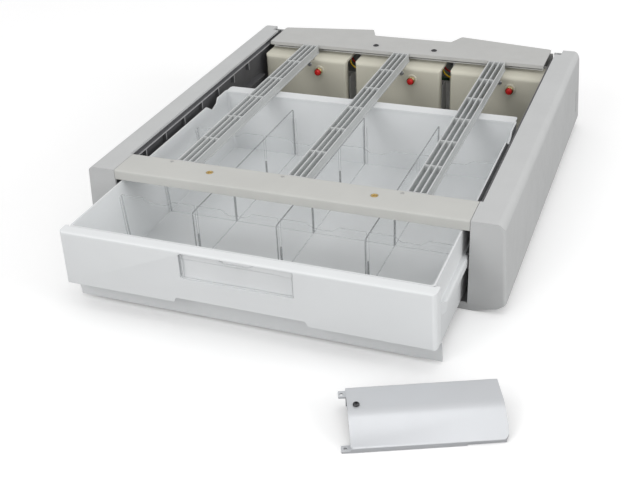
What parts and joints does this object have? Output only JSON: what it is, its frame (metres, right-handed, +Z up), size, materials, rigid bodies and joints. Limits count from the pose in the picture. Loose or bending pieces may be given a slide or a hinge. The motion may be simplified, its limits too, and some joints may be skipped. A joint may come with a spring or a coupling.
{
  "type": "lockable supply drawer unit",
  "caption": "Low open-topped unit with a sliding drawer, clear dividers, lattice slats across the top and lock modules with red release buttons at the back.",
  "frame": {"origin": "centre of the base pan's underside, on the floor", "axes": "+X to the right seen from the front, +Y from the drawer front to the rear, +Z up"},
  "size_m": [0.5201, 0.7548, 0.1056],
  "materials": {
    "housing_grey": "satin light grey",
    "frame_grey": "satin light warm grey",
    "painted_sheet": "satin light grey paint",
    "rail_grey": "dark grey",
    "sheet_steel": "plated sheet",
    "drawer_white": "satin off-white",
    "clear_plastic": "clear",
    "label_paper": "matt card",
    "module_cream": "satin cream grey",
    "chrome": "polished",
    "button_red": "glossy red",
    "dark_steel": "blackened",
    "strike_steel": "plated",
    "brass": "turned",
    "board_green": "solder mask",
    "wire_yellow": "vinyl",
    "wire_red": "vinyl",
    "cover_silver": "satin light grey paint"
  },
  "bodies": {
    "chassis": {"base_pan": "sheet_steel", "left_housing": "housing_grey", "right_housing": "housing_grey", "left_inner_rail": "rail_grey", "right_inner_rail": "rail_grey", "left_threaded_insert": "brass", "right_threaded_insert": "brass", "left_plate_screw": "dark_steel", "right_plate_screw": "dark_steel", "front_crossbar": "frame_grey", "rear_plate": "painted_sheet", "rear_panel": "painted_sheet", "lock_bulkhead": "sheet_steel", "control_board": "board_green", "top_slat_1": "frame_grey", "top_slat_2": "frame_grey", "top_slat_3": "frame_grey", "slat_rivet_1": "sheet_steel", "slat_rivet_2": "sheet_steel", "slat_rivet_3": "sheet_steel", "lock_cover_1": "module_cream", "lock_cover_screw_1": "dark_steel", "button_bush_1": "chrome", "solenoid_1": "dark_steel", "lock_cover_2": "module_cream", "lock_cover_screw_2": "dark_steel", "button_bush_2": "chrome", "solenoid_2": "dark_steel", "lock_cover_3": "module_cream", "lock_cover_screw_3": "dark_steel", "button_bush_3": "chrome", "solenoid_3": "dark_steel", "yellow_wire_1": "wire_yellow", "red_wire_1": "wire_red", "yellow_wire_2": "wire_yellow", "red_wire_2": "wire_red"},
    "drawer": {"drawer_tray": "drawer_white", "drawer_front": "drawer_white", "drawer_skirt": "drawer_white", "label_card": "label_paper", "label_window": "clear_plastic", "cross_divider_1": "clear_plastic", "cross_divider_2": "clear_plastic", "cross_divider_3": "clear_plastic", "long_divider_1": "clear_plastic", "long_divider_2": "clear_plastic", "long_divider_3": "clear_plastic", "strike_1": "strike_steel", "strike_2": "strike_steel", "strike_3": "strike_steel"},
    "button_1": {"release_button_1": "button_red"},
    "button_2": {"release_button_2": "button_red"},
    "button_3": {"release_button_3": "button_red"},
    "bolt_1": {"lock_bolt_1": "strike_steel"},
    "bolt_2": {"lock_bolt_2": "strike_steel"},
    "bolt_3": {"lock_bolt_3": "strike_steel"},
    "loose_cover": {"loose_cover": "cover_silver", "loose_cover_screw": "dark_steel"}
  },
  "joints": [
    {"name": "drawer_slide", "type": "slide", "parent": "chassis", "child": "drawer", "axis": [0, -1, 0], "range_m": [-0.0925, 0.05]},
    {"name": "button_1_press", "type": "slide", "parent": "chassis", "child": "button_1", "axis": [0, 1, 0], "range_m": [0, 0.003], "stiffness_N_per_m": 400, "springref_m": -0.001},
    {"name": "button_2_press", "type": "slide", "parent": "chassis", "child": "button_2", "axis": [0, 1, 0], "range_m": [0, 0.003], "stiffness_N_per_m": 400, "springref_m": -0.001},
    {"name": "button_3_press", "type": "slide", "parent": "chassis", "child": "button_3", "axis": [0, 1, 0], "range_m": [0, 0.003], "stiffness_N_per_m": 400, "springref_m": -0.001},
    {"name": "bolt_1_throw", "type": "slide", "parent": "chassis", "child": "bolt_1", "axis": [0, 0, 1], "range_m": [0, 0.008], "stiffness_N_per_m": 120, "springref_m": -0.002},
    {"name": "bolt_2_throw", "type": "slide", "parent": "chassis", "child": "bolt_2", "axis": [0, 0, 1], "range_m": [0, 0.008], "stiffness_N_per_m": 120, "springref_m": -0.002},
    {"name": "bolt_3_throw", "type": "slide", "parent": "chassis", "child": "bolt_3", "axis": [0, 0, 1], "range_m": [0, 0.008], "stiffness_N_per_m": 120, "springref_m": -0.002},
    {"name": "cover_lift", "type": "slide", "parent": "chassis", "child": "loose_cover", "axis": [0, 0, 1], "range_m": [0, 0.15]}
  ]
}
